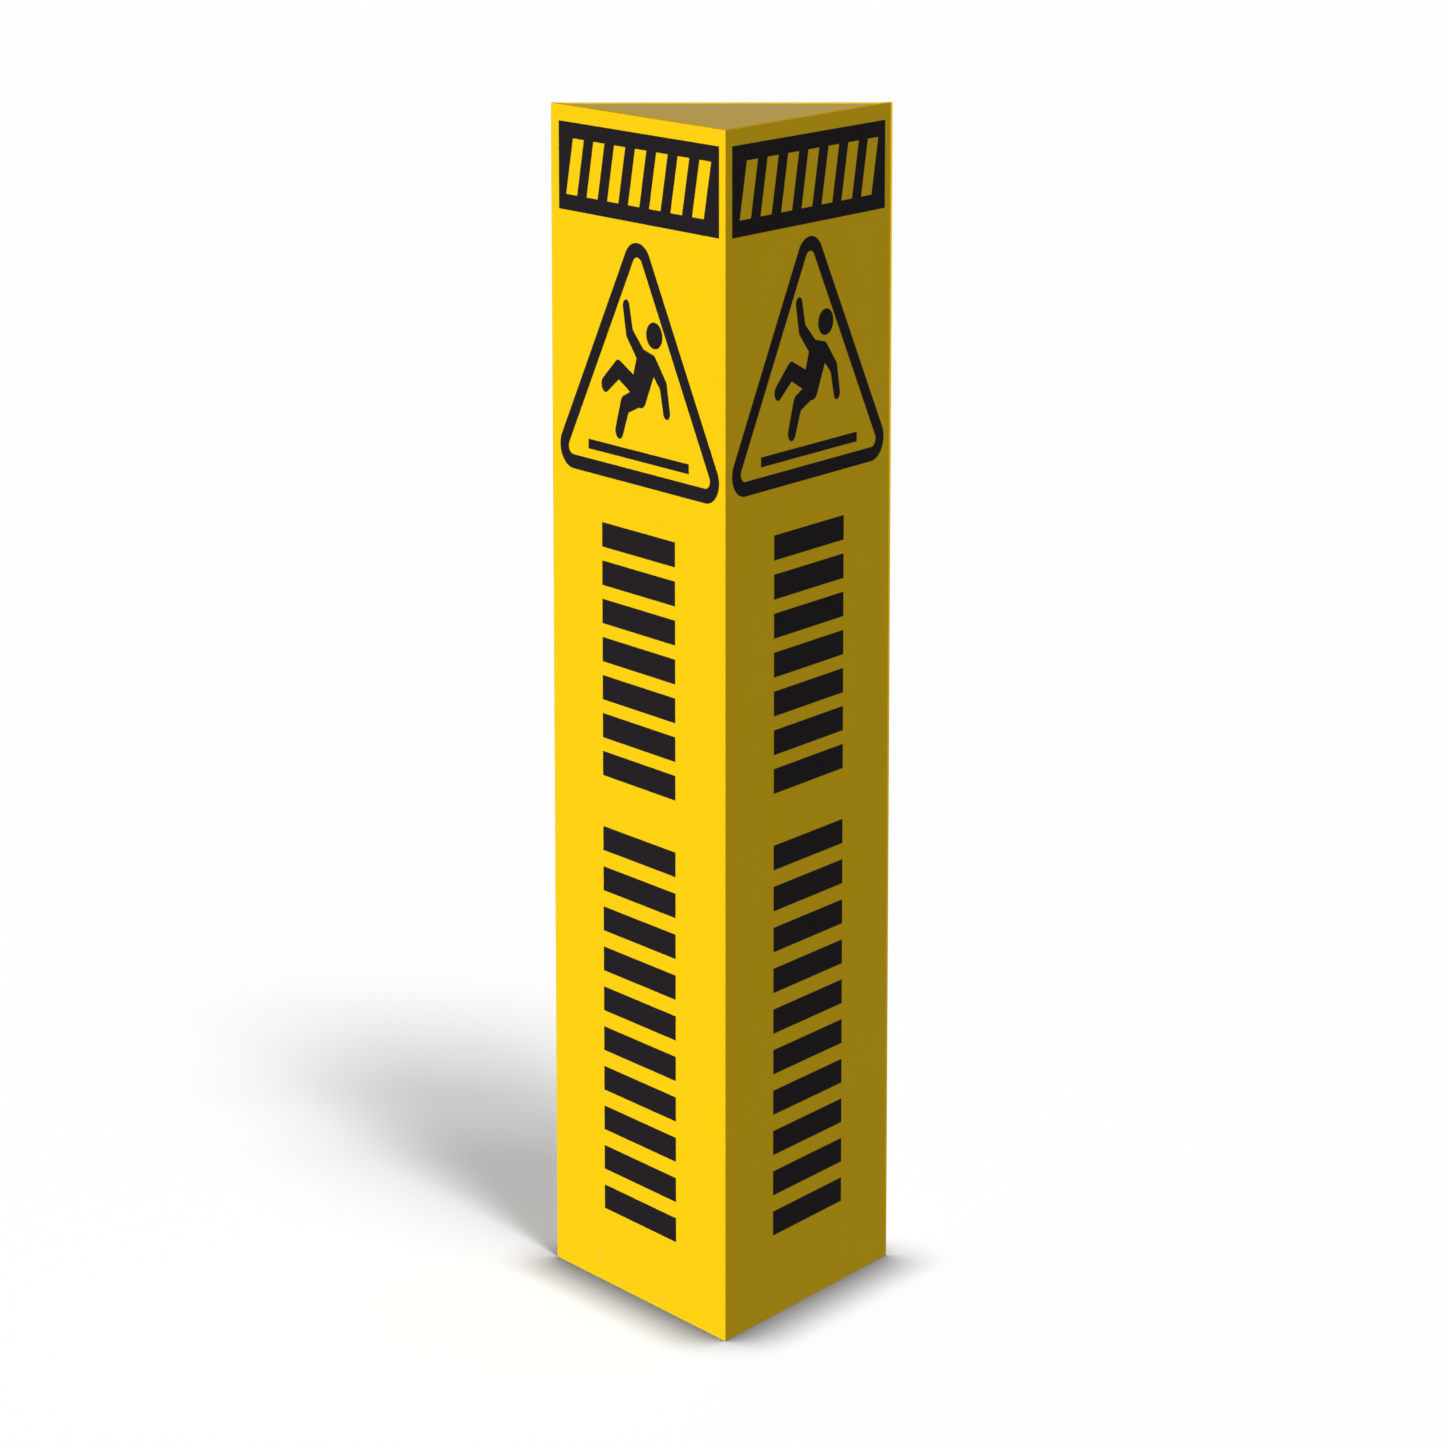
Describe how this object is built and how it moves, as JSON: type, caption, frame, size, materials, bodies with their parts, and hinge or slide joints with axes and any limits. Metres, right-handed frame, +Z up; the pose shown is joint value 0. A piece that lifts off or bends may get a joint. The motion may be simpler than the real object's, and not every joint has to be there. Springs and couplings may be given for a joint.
{
  "type": "wet floor sign",
  "caption": "Free-standing three-sided column floor sign of yellow fluted board with black hazard print. Its wings, lid, brace and hook-and-loop flap fold on creases.",
  "frame": {"origin": "middle of the column's bounding box on the plane that it stands on", "axes": "+Z up along the column; the sharp front corner points to -Y, the rear panel faces +Y, and +X is to the right seen from the front corner"},
  "size_m": [0.2608, 0.228, 0.914],
  "materials": {
    "yellow_board": "satin safety yellow fluted polypropylene",
    "hinge_strip": "satin yellow extruded polypropylene strip",
    "black_print": "semi-gloss black printed film",
    "hook_coin": "black moulded hook pile",
    "loop_coin": "dark grey napped loop pile"
  },
  "bodies": {
    "rear": {"rear_panel": "yellow_board", "left_crease": "yellow_board", "right_crease": "yellow_board", "lid_crease": "yellow_board", "brace_hinge_strip": "hinge_strip", "rear_header_print": "black_print", "rear_pictogram_print": "black_print", "rear_bars_print": "black_print"},
    "left_wing": {"left_panel": "yellow_board", "closure_hinge_strip": "hinge_strip", "left_header_print": "black_print", "left_pictogram_print": "black_print", "left_bars_print": "black_print"},
    "right_wing": {"right_panel": "yellow_board", "loop_coins": "loop_coin", "right_header_print": "black_print", "right_pictogram_print": "black_print", "right_bars_print": "black_print"},
    "flap": {"closure_flap": "hinge_strip", "hook_coins": "hook_coin"},
    "lid": {"top_lid": "yellow_board", "lid_left_tab": "yellow_board", "lid_right_tab": "yellow_board"},
    "brace": {"floor_brace": "yellow_board"}
  },
  "joints": [
    {"name": "left_wing_swing", "type": "hinge", "parent": "rear", "child": "left_wing", "pos_m": [-0.12804, 0.1116, 0], "axis": [0, 0, -1], "range_deg": [0, 120]},
    {"name": "right_wing_swing", "type": "hinge", "parent": "rear", "child": "right_wing", "pos_m": [0.12804, 0.1116, 0], "axis": [0, 0, 1], "range_deg": [0, 120]},
    {"name": "flap_fold", "type": "hinge", "parent": "left_wing", "child": "flap", "pos_m": [-0.00156, -0.10247, 0], "axis": [0, 0, -1], "range_deg": [0, 90]},
    {"name": "lid_lift", "type": "hinge", "parent": "rear", "child": "lid", "pos_m": [0, 0.1116, 0.912], "axis": [-1, 0, 0], "range_deg": [0, 90]},
    {"name": "brace_fold", "type": "hinge", "parent": "rear", "child": "brace", "pos_m": [0, 0.1091, 0.024], "axis": [-1, 0, 0], "range_deg": [0, 90]}
  ],
  "couplings": [
    {"joint": "flap_fold", "follows": "left_wing_swing", "ratio": 0.75}
  ]
}
